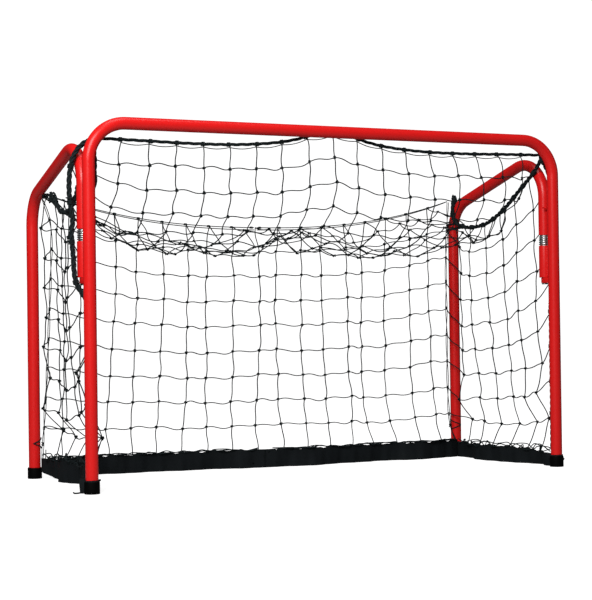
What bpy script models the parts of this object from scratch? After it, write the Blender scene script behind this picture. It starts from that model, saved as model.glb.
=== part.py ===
"""Folding street goal: a bent steel front frame, two side frames that swing in on
sprung hinge pins, rubber feet, and a knotted net hung inside with a cloth skirt.

Metres, +Z up. X runs along the mouth, +Y runs from the mouth to the back.
The origin lies on the floor, midway between the feet."""

import bmesh
import bpy
from math import acos, atan2, cos, hypot, pi, radians, sin, sqrt, tan
from mathutils import Matrix, Vector

# Mouth and reach of the goal
CLEAR_WIDTH = 0.900
CLEAR_HEIGHT = 0.600
DEPTH = 0.335
LEG_INSET = 0.012

# Steel tube
TUBE_OD = 0.0213
TUBE_WALL = 0.0020
TUBE_SIDES = 18
CORNER_RADIUS = 0.065
SIDE_BEND_RADIUS = 0.065
BEND_STEPS = 6

# Sloping top bar of the side frames, seen as a straight line that meets the hinge axis
SLOPE = radians(16.7)
SLOPE_DROP = 0.01465

# Hinge, from the bottom up: rivet head, lock collar, sleeve, spring, stub
HINGE_GAP = 0.008
SLEEVE_DROP = 0.25495
SLEEVE_LENGTH = 0.0600
SPRING_LENGTH = 0.0205
WEB_THICKNESS = 0.003
PIN_GRIP = 0.055
TAIL_RADIUS = 0.004
RIVET_RADIUS = 0.0062
RIVET_HEIGHT = 0.0022
COLLAR_HEIGHT = 0.010
COLLAR_WIDTH = 0.014
SPRING_WIRE = 0.0019
SPRING_CURLS = 5
CURL_POINTS = 10

# Rubber feet
CAP_WALL = 0.0020
CAP_HEIGHT = 0.020
CAP_FLOOR = 0.003
CAP_EDGE = 0.0008

# Net, its bound edges and what ties them
TWINE = 0.0020
CORD_RADIUS = 0.0030
REAR_CORD_RADIUS = 0.0016
TIE_RADIUS = 0.0010
TIE_POINTS = 12
HOOK_RADIUS = 0.0015
HOOK_SWEEP = radians(190)
NET_COLUMNS = 16
NET_ROWS = 9
SIDE_COLUMNS = 6
ROOF_ROWS = SIDE_COLUMNS
CURTAIN_ROWS = 2
CURTAIN_DROP = 0.162
CURTAIN_SPREAD = 6
LEG_TIE_LEVELS = ("low", "high")
LEG_TIE_ROWS = (0, 7.35)
HOOK_LEVELS = ("low", "middle", "high")
HOOK_ROWS = (0, 4, 7)
BAND_CORNER_DROP = 0.02505
BAND_SAG = 0.003
BAND_LIFT_POWER = 8
SEAM_FRONT_DROP = 0.009
SEAM_REAR_DROP = 0.10565
SEAM_DIP = 0.060
ROOF_SAG = 0.012
REAR_CORNER_DROP = 0.09065
REAR_MIDDLE_DROP = 0.14965
REAR_SAG_POWER = 2.4
NET_BOTTOM = 0.036

# How far the foot of the back net is dragged forward, from the left leg to the right one
HEM_PULLS = (0.0, 0.0, 0.0, 0.004, 0.018, 0.034, 0.036, 0.031, 0.030, 0.034, 0.0)

# Cloth skirt
SKIRT_CLOTH = 0.0010
SKIRT_LIFT = 0.0006
SKIRT_WAVE = 0.0045
SKIRT_WAVE_LENGTH = 0.115
SKIRT_PITCH = 0.020
STRAP_HEIGHT = 0.010
STRAP_CLOTH = 0.0012

# Clearances
SEAT = 0.0004
RUNNING = 0.0003

# Values that follow from the ones above
TUBE_R = TUBE_OD / 2
TUBE_ID = TUBE_OD - 2 * TUBE_WALL
POST_X = CLEAR_WIDTH / 2 + TUBE_R
CROSSBAR_Z = CLEAR_HEIGHT + TUBE_R
SLOPE_AT_HINGE = CROSSBAR_Z - SLOPE_DROP
SLEEVE_BOTTOM = CROSSBAR_Z - SLEEVE_DROP
BAND_CORNER_Z = CROSSBAR_Z - BAND_CORNER_DROP
SEAM_REAR_Z = CROSSBAR_Z - SEAM_REAR_DROP
REAR_CORNER_Z = CROSSBAR_Z - REAR_CORNER_DROP
REAR_MIDDLE_Z = CROSSBAR_Z - REAR_MIDDLE_DROP
FRONT_Y = -DEPTH / 2
REAR_Y = DEPTH / 2
LEG_X = POST_X - LEG_INSET
HINGE_Y = FRONT_Y + TUBE_OD + HINGE_GAP
SPAN = hypot(LEG_INSET, REAR_Y - HINGE_Y)
TOE_IN = atan2(LEG_INSET, REAR_Y - HINGE_Y)
TUBE_END = CAP_FLOOR + RUNNING
SLEEVE_TOP = SLEEVE_BOTTOM + SLEEVE_LENGTH
STUB_BOTTOM = SLEEVE_TOP + SPRING_LENGTH
COLLAR_TOP = SLEEVE_BOTTOM - RUNNING
COLLAR_BOTTOM = COLLAR_TOP - COLLAR_HEIGHT
PIN_RADIUS = TUBE_ID / 2 - RUNNING
CORD_REACH = TUBE_R + SEAT + CORD_RADIUS
NET_EDGE = CORD_RADIUS + SEAT
HOOK_CLEAR = NET_EDGE + TWINE + 2 * SEAT
REAR_EDGE = REAR_CORD_RADIUS + SEAT
TIE_CLEAR = REAR_EDGE + TWINE + SEAT
REAR_CORD = Vector((LEG_X - CORD_REACH, REAR_Y))
FRONT_CORD_Y = FRONT_Y + TUBE_R - CORD_RADIUS
FRONT_CORD = Vector((REAR_CORD.x + (REAR_Y - FRONT_CORD_Y) * tan(TOE_IN), FRONT_CORD_Y))
BAND_Y = FRONT_Y + CORD_REACH
BAND_END_X = FRONT_CORD.x
SIDES = (("left", -1), ("right", 1))


def clear_scene():
    for old in list(bpy.data.objects):
        bpy.data.objects.remove(old, do_unlink=True)


def material(name, colour, roughness, metallic=0.0):
    """A plain Principled finish; colour is linear RGB."""
    made = bpy.data.materials.new(name)
    made.use_nodes = True
    shader = made.node_tree.nodes["Principled BSDF"]
    shader.inputs["Base Color"].default_value = (*colour, 1.0)
    shader.inputs["Roughness"].default_value = roughness
    shader.inputs["Metallic"].default_value = metallic
    return made


def keep(name, data, finish, parent=None):
    """Adds an object whose data is in world coordinates, hung on a joint's empty."""
    data.materials.append(finish)
    made = bpy.data.objects.new(name, data)
    bpy.context.scene.collection.objects.link(made)
    if parent is not None:
        made.parent = parent
        made.matrix_parent_inverse = parent.matrix_basis.inverted()
    return made


def mesh_from(bm, name, smooth_angle=radians(35)):
    bmesh.ops.recalc_face_normals(bm, faces=bm.faces[:])
    data = bpy.data.meshes.new(name)
    bm.to_mesh(data)
    bm.free()
    data.shade_smooth()
    data.set_sharp_from_angle(angle=smooth_angle)
    return data


def joint_empty(name, place):
    made = bpy.data.objects.new(name, None)
    made.empty_display_size = 0.03
    made.matrix_basis = place
    bpy.context.scene.collection.objects.link(made)
    return made


def tube_ring(bm, outer, inner, place):
    """The cut end of a tube: a ring of faces, facing along the placed Z axis."""
    rims = []
    for radius in (outer, inner):
        rims += bmesh.ops.create_circle(bm, segments=TUBE_SIDES, radius=radius)["verts"]
    bmesh.ops.bridge_loops(bm, edges=bm.edges[:])
    bmesh.ops.transform(bm, matrix=place, verts=rims)
    return bm.faces[:]


def with_edges(faces):
    """The faces and their edges, which an extrusion needs to open the wall behind it."""
    return faces + list({edge for face in faces for edge in face.edges})


def run_straight(bm, end, step):
    grown = bmesh.ops.extrude_face_region(bm, geom=with_edges(end))["geom"]
    bmesh.ops.translate(bm, vec=step, verts=[g for g in grown if isinstance(g, bmesh.types.BMVert)])
    return [g for g in grown if isinstance(g, bmesh.types.BMFace)]


def run_bend(bm, end, centre, axis, angle):
    steps = max(2, round(BEND_STEPS * abs(angle) / (pi / 2)))
    grown = bmesh.ops.spin(bm, geom=with_edges(end), cent=centre, axis=axis, angle=angle, steps=steps)["geom_last"]
    return [g for g in grown if isinstance(g, bmesh.types.BMFace)]


def front_frame_mesh():
    """One tube: up the left post, round the corner, along the bar and down the right post."""
    bm = bmesh.new()
    bend_z = CROSSBAR_Z - CORNER_RADIUS
    bend_x = POST_X - CORNER_RADIUS
    post = Vector((0, 0, bend_z - TUBE_END))
    end = tube_ring(bm, TUBE_R, TUBE_ID / 2, Matrix.Translation((-POST_X, FRONT_Y, TUBE_END)))
    end = run_straight(bm, end, post)
    end = run_bend(bm, end, (-bend_x, FRONT_Y, bend_z), (0, 1, 0), pi / 2)
    end = run_straight(bm, end, Vector((2 * bend_x, 0, 0)))
    end = run_bend(bm, end, (bend_x, FRONT_Y, bend_z), (0, 1, 0), pi / 2)
    run_straight(bm, end, -post)
    return mesh_from(bm, "front_frame")


def side_frame_mesh(name, place):
    """One tube: up from the hinge stub, over the sloping bar and down the rear leg."""
    bm = bmesh.new()
    first_turn = pi / 2 + SLOPE
    last_turn = pi / 2 - SLOPE
    first_z = SLOPE_AT_HINGE - SIDE_BEND_RADIUS * tan(first_turn / 2)
    slope_end_z = SLOPE_AT_HINGE - SPAN * tan(SLOPE)
    last_z = slope_end_z - SIDE_BEND_RADIUS * tan(last_turn / 2)
    start = Vector((SIDE_BEND_RADIUS * (1 + sin(SLOPE)), first_z + SIDE_BEND_RADIUS * cos(SLOPE)))
    stop = Vector((SPAN - SIDE_BEND_RADIUS * (1 - sin(SLOPE)), last_z + SIDE_BEND_RADIUS * cos(SLOPE)))
    bar = stop - start
    end = tube_ring(bm, TUBE_R, TUBE_ID / 2, Matrix.Translation((0, 0, STUB_BOTTOM)))
    end = run_straight(bm, end, Vector((0, 0, first_z - STUB_BOTTOM)))
    end = run_bend(bm, end, (0, SIDE_BEND_RADIUS, first_z), (-1, 0, 0), first_turn)
    end = run_straight(bm, end, Vector((0, bar.x, bar.y)))
    end = run_bend(bm, end, (0, SPAN - SIDE_BEND_RADIUS, last_z), (-1, 0, 0), last_turn)
    run_straight(bm, end, Vector((0, 0, TUBE_END - last_z)))
    bmesh.ops.transform(bm, matrix=place, verts=bm.verts[:])
    return mesh_from(bm, name)


def turned_mesh(name, outline, place):
    """Spins an outline of (radius, height) points into a solid of revolution."""
    bm = bmesh.new()
    points = [bm.verts.new((radius, 0, height)) for radius, height in outline]
    edges = [bm.edges.new(pair) for pair in zip(points, points[1:] + points[:1])]
    bmesh.ops.spin(bm, geom=points + edges, cent=(0, 0, 0), axis=(0, 0, 1),
                   angle=2 * pi, steps=TUBE_SIDES, use_merge=True)
    bmesh.ops.remove_doubles(bm, verts=bm.verts[:], dist=0.00001)
    bmesh.ops.dissolve_degenerate(bm, edges=bm.edges[:], dist=0.00001)
    bmesh.ops.transform(bm, matrix=place, verts=bm.verts[:])
    return mesh_from(bm, name)


def cap_mesh(name, x, y):
    """A rubber cup pushed over the tube's end."""
    bore = TUBE_R + RUNNING
    outer = bore + CAP_WALL
    outline = [
        (0, 0),
        (outer - CAP_EDGE, 0),
        (outer, CAP_EDGE),
        (outer, CAP_HEIGHT - CAP_EDGE),
        (outer - CAP_EDGE, CAP_HEIGHT),
        (bore, CAP_HEIGHT),
        (bore, CAP_FLOOR),
        (0, CAP_FLOOR),
    ]
    return closed_disc_mesh(name, outline, Matrix.Translation((x, y, 0)))


def closed_disc_mesh(name, outline, place):
    """A turned solid whose outline starts and ends on the axis."""
    bm = bmesh.new()
    points = [bm.verts.new((radius, 0, height)) for radius, height in outline]
    edges = [bm.edges.new(pair) for pair in zip(points, points[1:])]
    bmesh.ops.spin(bm, geom=points + edges, cent=(0, 0, 0), axis=(0, 0, 1),
                   angle=2 * pi, steps=TUBE_SIDES, use_merge=True)
    bmesh.ops.remove_doubles(bm, verts=bm.verts[:], dist=0.00001)
    bmesh.ops.transform(bm, matrix=place, verts=bm.verts[:])
    return mesh_from(bm, name)


def sleeve_mesh(name, x):
    """The fixed half of the hinge: a short tube welded to the post by a flat web."""
    inner = TUBE_ID / 2
    outline = [(TUBE_R, SLEEVE_BOTTOM), (TUBE_R, SLEEVE_TOP), (inner, SLEEVE_TOP), (inner, SLEEVE_BOTTOM)]
    return turned_mesh(name, outline, Matrix.Translation((x, HINGE_Y, 0)))


def web_mesh(name, x):
    """The plate between post and sleeve, hollowed at both edges to fit their round walls."""
    half = WEB_THICKNESS / 2
    saddle = TUBE_R + RUNNING
    turn = atan2(half, saddle)
    front = [(saddle * sin(a), FRONT_Y + saddle * cos(a)) for a in (-turn, 0, turn)]
    rear = [(saddle * sin(a), HINGE_Y - saddle * cos(a)) for a in (turn, 0, -turn)]
    bm = bmesh.new()
    outline = [bm.verts.new((x + dx, y, SLEEVE_BOTTOM)) for dx, y in front + rear]
    face = bm.faces.new(outline)
    run_straight(bm, [face], Vector((0, 0, SLEEVE_LENGTH)))
    return mesh_from(bm, name)


def collar_mesh(name, x):
    """The keyed lock plate: an eye round the pin's tail and a tongue that ends on the post."""
    half = COLLAR_WIDTH / 2
    saddle = TUBE_R + RUNNING
    turn = atan2(half, sqrt(saddle ** 2 - half ** 2))
    eye_steps = 8
    hollow = [(saddle * sin(turn * k / 3), FRONT_Y + saddle * cos(turn * k / 3)) for k in range(-3, 4)]
    eye = [(half * cos(pi * k / eye_steps), HINGE_Y + half * sin(pi * k / eye_steps)) for k in range(eye_steps + 1)]
    bm = bmesh.new()
    outline = [bm.verts.new((x + dx, y, COLLAR_BOTTOM)) for dx, y in hollow + eye]
    rim = [bm.edges.new(pair) for pair in zip(outline, outline[1:] + outline[:1])]
    hole = bmesh.ops.create_circle(bm, segments=TUBE_SIDES, radius=TAIL_RADIUS + RUNNING,
                                   matrix=Matrix.Translation((x, HINGE_Y, COLLAR_BOTTOM)))["verts"]
    rim += list({edge for vert in hole for edge in vert.link_edges})
    flat = bmesh.ops.triangle_fill(bm, use_beauty=True, use_dissolve=False, edges=rim)["geom"]
    faces = [g for g in flat if isinstance(g, bmesh.types.BMFace)]
    run_straight(bm, faces, Vector((0, 0, COLLAR_HEIGHT)))
    return mesh_from(bm, name)


def pin_mesh(name, place):
    """The hinge pin: a rod held in the stub, turned down to a tail that is riveted over."""
    top = STUB_BOTTOM + PIN_GRIP
    tail_top = SLEEVE_BOTTOM
    tail_bottom = COLLAR_BOTTOM - RUNNING
    chamfer = 0.001
    outline = [
        (0, tail_bottom - RIVET_HEIGHT),
        (RIVET_RADIUS - chamfer, tail_bottom - RIVET_HEIGHT),
        (RIVET_RADIUS, tail_bottom - RIVET_HEIGHT / 2),
        (RIVET_RADIUS, tail_bottom),
        (TAIL_RADIUS, tail_bottom),
        (TAIL_RADIUS, tail_top),
        (PIN_RADIUS, tail_top),
        (PIN_RADIUS, top - chamfer),
        (PIN_RADIUS - chamfer, top),
        (0, top),
    ]
    return closed_disc_mesh(name, outline, place)


def round_cord(name, points, radius, closed=False, resolution=1):
    """A cord or wire: a polyline with a round bevel and capped ends."""
    data = bpy.data.curves.new(name, "CURVE")
    data.dimensions = "3D"
    data.bevel_depth = radius
    data.bevel_resolution = resolution
    data.use_fill_caps = True
    line = data.splines.new("POLY")
    line.points.add(len(points) - 1)
    for point, place in zip(line.points, points):
        point.co = (*place, 1.0)
    line.use_cyclic_u = closed
    return data


def spring_points(x):
    """The spring's curls, drawn as one rising helix round the pin."""
    mean_radius = TUBE_R - SPRING_WIRE / 2
    low = SLEEVE_TOP + SPRING_WIRE / 2 + RUNNING
    high = STUB_BOTTOM - SPRING_WIRE / 2 - RUNNING
    count = SPRING_CURLS * CURL_POINTS
    points = []
    for k in range(count + 1):
        turn = 2 * pi * k / CURL_POINTS
        points.append(Vector((x + mean_radius * cos(turn), HINGE_Y + mean_radius * sin(turn),
                              low + (high - low) * k / count)))
    return points


def least_gap(points):
    """The clear space between neighbouring curls."""
    gap = min((points[k + CURL_POINTS] - points[k]).length for k in range(len(points) - CURL_POINTS))
    return gap - SPRING_WIRE


def wrap_points(first, first_radius, second, second_radius):
    """A loop drawn tight round two circles, as (u, v) points whose flats touch the circles."""
    axis = Vector(second) - Vector(first)
    heading = atan2(axis.y, axis.x)
    open_angle = acos((first_radius - second_radius) / axis.length)
    half = TIE_POINTS // 2
    arcs = (
        (first, first_radius, heading + open_angle, 2 * pi - 2 * open_angle),
        (second, second_radius, heading - open_angle, 2 * open_angle),
    )
    points = []
    for centre, radius, start, sweep in arcs:
        step = sweep / half
        corner_radius = radius / cos(step / 2)
        for k in range(half):
            turn = start + step * (k + 0.5)
            points.append((centre[0] + corner_radius * cos(turn), centre[1] + corner_radius * sin(turn)))
    return points


def lattice_lines(count, length):
    """Where the twines' edges lie along one side of a net, from 0 to 1."""
    bar = TWINE / length
    lines = []
    for k in range(count + 1):
        middle = bar / 2 + (1 - bar) * k / count
        lines += [middle - bar / 2, middle + bar / 2]
    return lines


def net_mesh(name, columns, rows, length, height, place):
    """A knotted net as a lattice: a grid whose gaps are cut out, given the twine's thickness."""
    across = lattice_lines(columns, length)
    upward = lattice_lines(rows, height)
    bm = bmesh.new()
    grid = bmesh.ops.create_grid(bm, x_segments=2 * columns + 1, y_segments=2 * rows + 1, size=0.5)["verts"]
    stride = 2 * columns + 2
    for index, vert in enumerate(grid):
        vert.co = place(across[index % stride], upward[index // stride])
    bm.verts.index_update()
    gaps = []
    for face in bm.faces:
        corner = min(vert.index for vert in face.verts)
        if corner % stride % 2 == 1 and corner // stride % 2 == 1:
            gaps.append(face)
    bmesh.ops.delete(bm, geom=gaps, context="FACES")
    bmesh.ops.recalc_face_normals(bm, faces=bm.faces[:])
    bm.normal_update()
    thickness = {vert.index: vert.normal.copy() * TWINE / 2 for vert in bm.verts}
    grown = bmesh.ops.extrude_face_region(bm, geom=bm.faces[:])["geom"]
    fresh = [g for g in grown if isinstance(g, bmesh.types.BMVert)]
    for vert in fresh:
        vert.co += vert.normal * TWINE / 2
    for vert in grid:
        vert.co -= thickness[vert.index]
    return mesh_from(bm, name)


def band_z(x):
    """Height of the net's front edge: tied to the bar in the middle and at the corners."""
    share = x / BAND_END_X
    lifted = (CROSSBAR_Z - BAND_CORNER_Z) * max(0.0, 1 - share ** 2) ** BAND_LIFT_POWER
    return BAND_CORNER_Z + lifted - BAND_SAG * sin(pi * share) ** 2


def rear_z(x):
    """Height of the net's top rear edge, slung between the two rear bends."""
    share = min(1.0, abs(x) / REAR_CORD.x)
    return REAR_MIDDLE_Z + (REAR_CORNER_Z - REAR_MIDDLE_Z) * share ** REAR_SAG_POWER


def dip(share):
    """How a slack net hangs between its front and rear edges, lowest two thirds of the way back."""
    return 27 / 4 * share ** 2 * (1 - share)


def seam_z(share):
    front = BAND_CORNER_Z - SEAM_FRONT_DROP
    return front + (SEAM_REAR_Z - front) * share - SEAM_DIP * dip(share)


SIDE_NET_FRONT = Vector((FRONT_CORD.x, FRONT_CORD.y + NET_EDGE))
SIDE_NET_REAR = Vector((REAR_CORD.x, REAR_CORD.y - REAR_EDGE))
SIDE_NET_LENGTH = (SIDE_NET_REAR - SIDE_NET_FRONT).length


def slanted(distance, rise, run):
    """The upright distance that keeps two sloping lines apart by the given distance."""
    return distance * hypot(rise, run) / run


def side_net_place(sx):
    def place(u, v):
        plan = SIDE_NET_FRONT.lerp(SIDE_NET_REAR, u)
        nudge = 0.01
        rise = seam_z(min(1, u + nudge)) - seam_z(max(0, u - nudge))
        run = (min(1, u + nudge) - max(0, u - nudge)) * SIDE_NET_LENGTH
        top = seam_z(u) - slanted(NET_EDGE, rise, run)
        return Vector((sx * plan.x, plan.y, NET_BOTTOM + (top - NET_BOTTOM) * v))
    return place


def seam_points(sx):
    """The bound seam where roof and side net meet, sagging from the post to the rear bend."""
    start = (BAND_Y - SIDE_NET_FRONT.y) / SIDE_NET_LENGTH
    stop = 1 - (CORD_RADIUS + REAR_CORD_RADIUS + SEAT) / SIDE_NET_LENGTH
    lines = lattice_lines(SIDE_COLUMNS, SIDE_NET_LENGTH)
    points = []
    for share in [start] + [line for line in lines if start < line < stop] + [stop]:
        plan = SIDE_NET_FRONT.lerp(SIDE_NET_REAR, share)
        points.append((sx * plan.x, plan.y, seam_z(share)))
    return points


def hem_pull(share):
    """How far forward the back net's foot lies, at a share of the way from left to right."""
    place = share * (len(HEM_PULLS) - 1)
    before = min(int(place), len(HEM_PULLS) - 2)
    ease = (1 - cos(pi * (place - before))) / 2
    return HEM_PULLS[before] * (1 - ease) + HEM_PULLS[before + 1] * ease


def back_net_place(u, v):
    x = (2 * u - 1) * (REAR_CORD.x - REAR_EDGE)
    nudge = 0.001
    top = rear_z(x) - slanted(REAR_EDGE, rear_z(x + nudge) - rear_z(x - nudge), 2 * nudge)
    return Vector((x, REAR_CORD.y - hem_pull(u) * (1 - v), NET_BOTTOM + (top - NET_BOTTOM) * v))


def roof_place(u, v):
    """The roof net: a curtain behind the bar, then a slack run back to the rear edge,
    while its two side edges follow the sagging seams."""
    front_y = BAND_Y + NET_EDGE + TWINE / 2
    rear_y = REAR_CORD.y - REAR_EDGE
    plan = SIDE_NET_FRONT.lerp(SIDE_NET_REAR, v)
    x = (2 * u - 1) * (plan.x - NET_EDGE)
    fold = CURTAIN_ROWS / ROOF_ROWS
    front_z = band_z(x) + TWINE / 2
    back_share = max(0.0, v - fold) / (1 - fold)
    fold_z = front_z - CURTAIN_DROP
    hung_y = front_y + (rear_y - front_y) * back_share
    hung_z = front_z + (fold_z - front_z) * min(1.0, v / fold) + (rear_z(x) - fold_z) * back_share
    hung_z -= ROOF_SAG * sin(pi * back_share)
    edge_y = front_y + (rear_y - front_y) * v
    edge_z = front_z * (1 - v) + rear_z(x) * v - SEAM_DIP * dip(v)
    slack = 1 - abs(2 * u - 1) ** CURTAIN_SPREAD
    return Vector((x, edge_y + (hung_y - edge_y) * slack, edge_z + (hung_z - edge_z) * slack))


def skirt_mesh(name, start, stop, pull=lambda share: 0.0):
    """A strip of cloth along the floor: plain at its sewn top edge, waved at its free hem,
    and pulled aside by the given distance at each share of its length."""
    start, stop = Vector(start), Vector(stop)
    length = (stop - start).length
    along = (stop - start) / length
    across = Vector((-along.y, along.x))
    top = NET_BOTTOM - SEAT
    columns = max(4, round(length / SKIRT_PITCH))
    levels = 2
    bm = bmesh.new()
    grid = bmesh.ops.create_grid(bm, x_segments=columns, y_segments=levels, size=0.5)["verts"]
    for index, vert in enumerate(grid):
        share = index % (columns + 1) / columns
        level = index // (columns + 1) / levels
        ends = min(1.0, 4 * share, 4 * (1 - share))
        wave = SKIRT_WAVE * (1 - level) * ends * sin(2 * pi * share * length / SKIRT_WAVE_LENGTH)
        plan = start + along * (share * length) + across * (wave - pull(share))
        vert.co = (plan.x, plan.y, SKIRT_LIFT + (top - SKIRT_LIFT) * level)
    cloth = across * SKIRT_CLOTH / 2
    bmesh.ops.translate(bm, vec=(-cloth.x, -cloth.y, 0), verts=grid)
    grown = bmesh.ops.extrude_face_region(bm, geom=bm.faces[:])["geom"]
    bmesh.ops.translate(bm, vec=(2 * cloth.x, 2 * cloth.y, 0),
                        verts=[g for g in grown if isinstance(g, bmesh.types.BMVert)])
    return mesh_from(bm, name)


def strap_mesh(name, sx):
    """The cloth strap that ties the skirt's front end round the foot of the post."""
    inner = wrap_points((POST_X, FRONT_Y), TUBE_R + SEAT, FRONT_CORD, NET_EDGE)
    outer = wrap_points((POST_X, FRONT_Y), TUBE_R + SEAT + STRAP_CLOTH, FRONT_CORD, NET_EDGE + STRAP_CLOTH)
    z = CAP_HEIGHT + SEAT
    bm = bmesh.new()
    edges = []
    for loop in (inner, outer):
        verts = [bm.verts.new((sx * u, v, z)) for u, v in loop]
        edges += [bm.edges.new(pair) for pair in zip(verts, verts[1:] + verts[:1])]
    ring = bmesh.ops.bridge_loops(bm, edges=edges)["faces"]
    run_straight(bm, ring, Vector((0, 0, STRAP_HEIGHT)))
    return mesh_from(bm, name)


def cell_height(row, top):
    """The middle of a net's row of gaps along an upright edge."""
    return NET_BOTTOM + (top - NET_BOTTOM) * (row + 0.5) / NET_ROWS


def hook_points(cord, tube):
    """A wire hook that starts on a tube and curls round a cord beside it, as (u, v) points."""
    curl = HOOK_CLEAR + HOOK_RADIUS
    touch = TUBE_R + HOOK_RADIUS + SEAT
    to_tube = Vector(tube) - Vector(cord)
    heading = atan2(to_tube.y, to_tube.x)
    start = acos((to_tube.length ** 2 + curl ** 2 - touch ** 2) / (2 * to_tube.length * curl))
    steps = 9
    points = []
    for k in range(steps + 1):
        turn = heading + start + HOOK_SWEEP * k / steps
        points.append((cord[0] + curl * cos(turn), cord[1] + curl * sin(turn)))
    return points


clear_scene()

red = material("red_powder_coat", (0.75, 0.028, 0.022), 0.34)
zinc = material("zinc_plated_wire", (0.62, 0.66, 0.66), 0.30, 1.0)
steel = material("bare_pin_steel", (0.45, 0.45, 0.44), 0.35, 1.0)
rubber = material("black_rubber", (0.012, 0.012, 0.013), 0.62)
net_black = material("black_net_twine", (0.016, 0.017, 0.018), 0.80)
cloth_black = material("black_skirt_cloth", (0.014, 0.016, 0.018), 0.90)

# The front frame and its feet
keep("front_frame", front_frame_mesh(), red)
for side, sx in SIDES:
    keep(f"{side}_front_cap", cap_mesh(f"{side}_front_cap", sx * POST_X, FRONT_Y), rubber)

# The hinges and the side frames that swing on them
for side, sx in SIDES:
    hinge_x = sx * POST_X
    fold = Matrix.Translation((hinge_x, HINGE_Y, 0)) @ Matrix.Rotation(sx * TOE_IN, 4, "Z")
    slide_axis = joint_empty(f"{side}_lock_axis", Matrix.Translation((hinge_x, HINGE_Y, 0)))
    fold_axis = joint_empty(f"{side}_fold_axis", fold)

    keep(f"{side}_hinge_sleeve", sleeve_mesh(f"{side}_hinge_sleeve", hinge_x), red)
    keep(f"{side}_hinge_web", web_mesh(f"{side}_hinge_web", hinge_x), red)
    keep(f"{side}_lock_collar", collar_mesh(f"{side}_lock_collar", hinge_x), red, slide_axis)
    curls = spring_points(hinge_x)
    print(f"{side}_lock_spring: least gap between curls {least_gap(curls) * 1000:.2f} mm")
    keep(f"{side}_lock_spring", round_cord(f"{side}_lock_spring", curls, SPRING_WIRE / 2), zinc)

    keep(f"{side}_side_frame", side_frame_mesh(f"{side}_side_frame", fold), red, fold_axis)
    keep(f"{side}_hinge_pin", pin_mesh(f"{side}_hinge_pin", fold), steel, fold_axis)
    keep(f"{side}_rear_cap", cap_mesh(f"{side}_rear_cap", sx * LEG_X, REAR_Y), rubber, fold_axis)

    side_height = seam_z(0) - NET_BOTTOM
    keep(f"{side}_side_net",
         net_mesh(f"{side}_side_net", SIDE_COLUMNS, NET_ROWS, SIDE_NET_LENGTH, side_height, side_net_place(sx)),
         net_black, fold_axis)
    keep(f"{side}_seam_cord", round_cord(f"{side}_seam_cord", seam_points(sx), CORD_RADIUS), net_black, fold_axis)

    rear_top = rear_z(REAR_CORD.x) - REAR_CORD_RADIUS - 2 * SEAT
    rear_line = [(sx * REAR_CORD.x, REAR_CORD.y, z) for z in (NET_BOTTOM, rear_top)]
    keep(f"{side}_rear_cord", round_cord(f"{side}_rear_cord", rear_line, REAR_CORD_RADIUS), net_black, fold_axis)
    bend_z = CROSSBAR_Z - CORNER_RADIUS
    front_line = [(sx * FRONT_CORD.x, FRONT_CORD.y, z) for z in (CAP_HEIGHT + SEAT, bend_z)]
    keep(f"{side}_front_cord", round_cord(f"{side}_front_cord", front_line, CORD_RADIUS), net_black)

    side_top = (seam_z(1) + rear_z(REAR_CORD.x)) / 2
    around_leg = wrap_points((LEG_X, REAR_Y), TUBE_R + SEAT + TIE_RADIUS, REAR_CORD, TIE_CLEAR + TIE_RADIUS)
    for level, row in zip(LEG_TIE_LEVELS, LEG_TIE_ROWS):
        tie = [(sx * u, v, cell_height(row, side_top)) for u, v in around_leg]
        keep(f"{side}_leg_tie_{level}", round_cord(f"{side}_leg_tie_{level}", tie, TIE_RADIUS, True),
             net_black, fold_axis)

    post_top = seam_z(0)
    for level, row in zip(HOOK_LEVELS, HOOK_ROWS):
        z = cell_height(row, post_top)
        hook = [(sx * u, v, z) for u, v in hook_points(FRONT_CORD, (POST_X, FRONT_Y))]
        keep(f"{side}_net_hook_{level}", round_cord(f"{side}_net_hook_{level}", hook, HOOK_RADIUS), red)

    skirt_start = SIDE_NET_FRONT.lerp(SIDE_NET_REAR, (STRAP_CLOTH + SEAT) / SIDE_NET_LENGTH)
    skirt_front = (sx * skirt_start.x, skirt_start.y)
    skirt_rear = (sx * SIDE_NET_REAR.x, SIDE_NET_REAR.y)
    keep(f"{side}_side_skirt", skirt_mesh(f"{side}_side_skirt", skirt_front, skirt_rear), cloth_black, fold_axis)
    keep(f"{side}_foot_strap", strap_mesh(f"{side}_foot_strap", sx), cloth_black)

# The net's front edge and roof
roof_columns = lattice_lines(NET_COLUMNS, 2 * (SIDE_NET_FRONT.x - NET_EDGE))
band_x = [(2 * u - 1) * (SIDE_NET_FRONT.x - NET_EDGE) for u in roof_columns]
band_x = [-BAND_END_X] + band_x[1:-1] + [BAND_END_X]
keep("crossbar_band", round_cord("crossbar_band", [(x, BAND_Y, band_z(x)) for x in band_x], CORD_RADIUS), net_black)
bar_hook_x = (SIDE_NET_FRONT.x - NET_EDGE) / NET_COLUMNS
for side, sx in SIDES:
    outline = hook_points((BAND_Y, band_z(bar_hook_x)), (FRONT_Y, CROSSBAR_Z))
    bar_hook = [(sx * bar_hook_x, u, v) for u, v in outline]
    keep(f"{side}_crossbar_hook", round_cord(f"{side}_crossbar_hook", bar_hook, HOOK_RADIUS), red)
keep("roof_net",
     net_mesh("roof_net", NET_COLUMNS, ROOF_ROWS, 2 * SIDE_NET_FRONT.x, DEPTH, roof_place), net_black)

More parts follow.
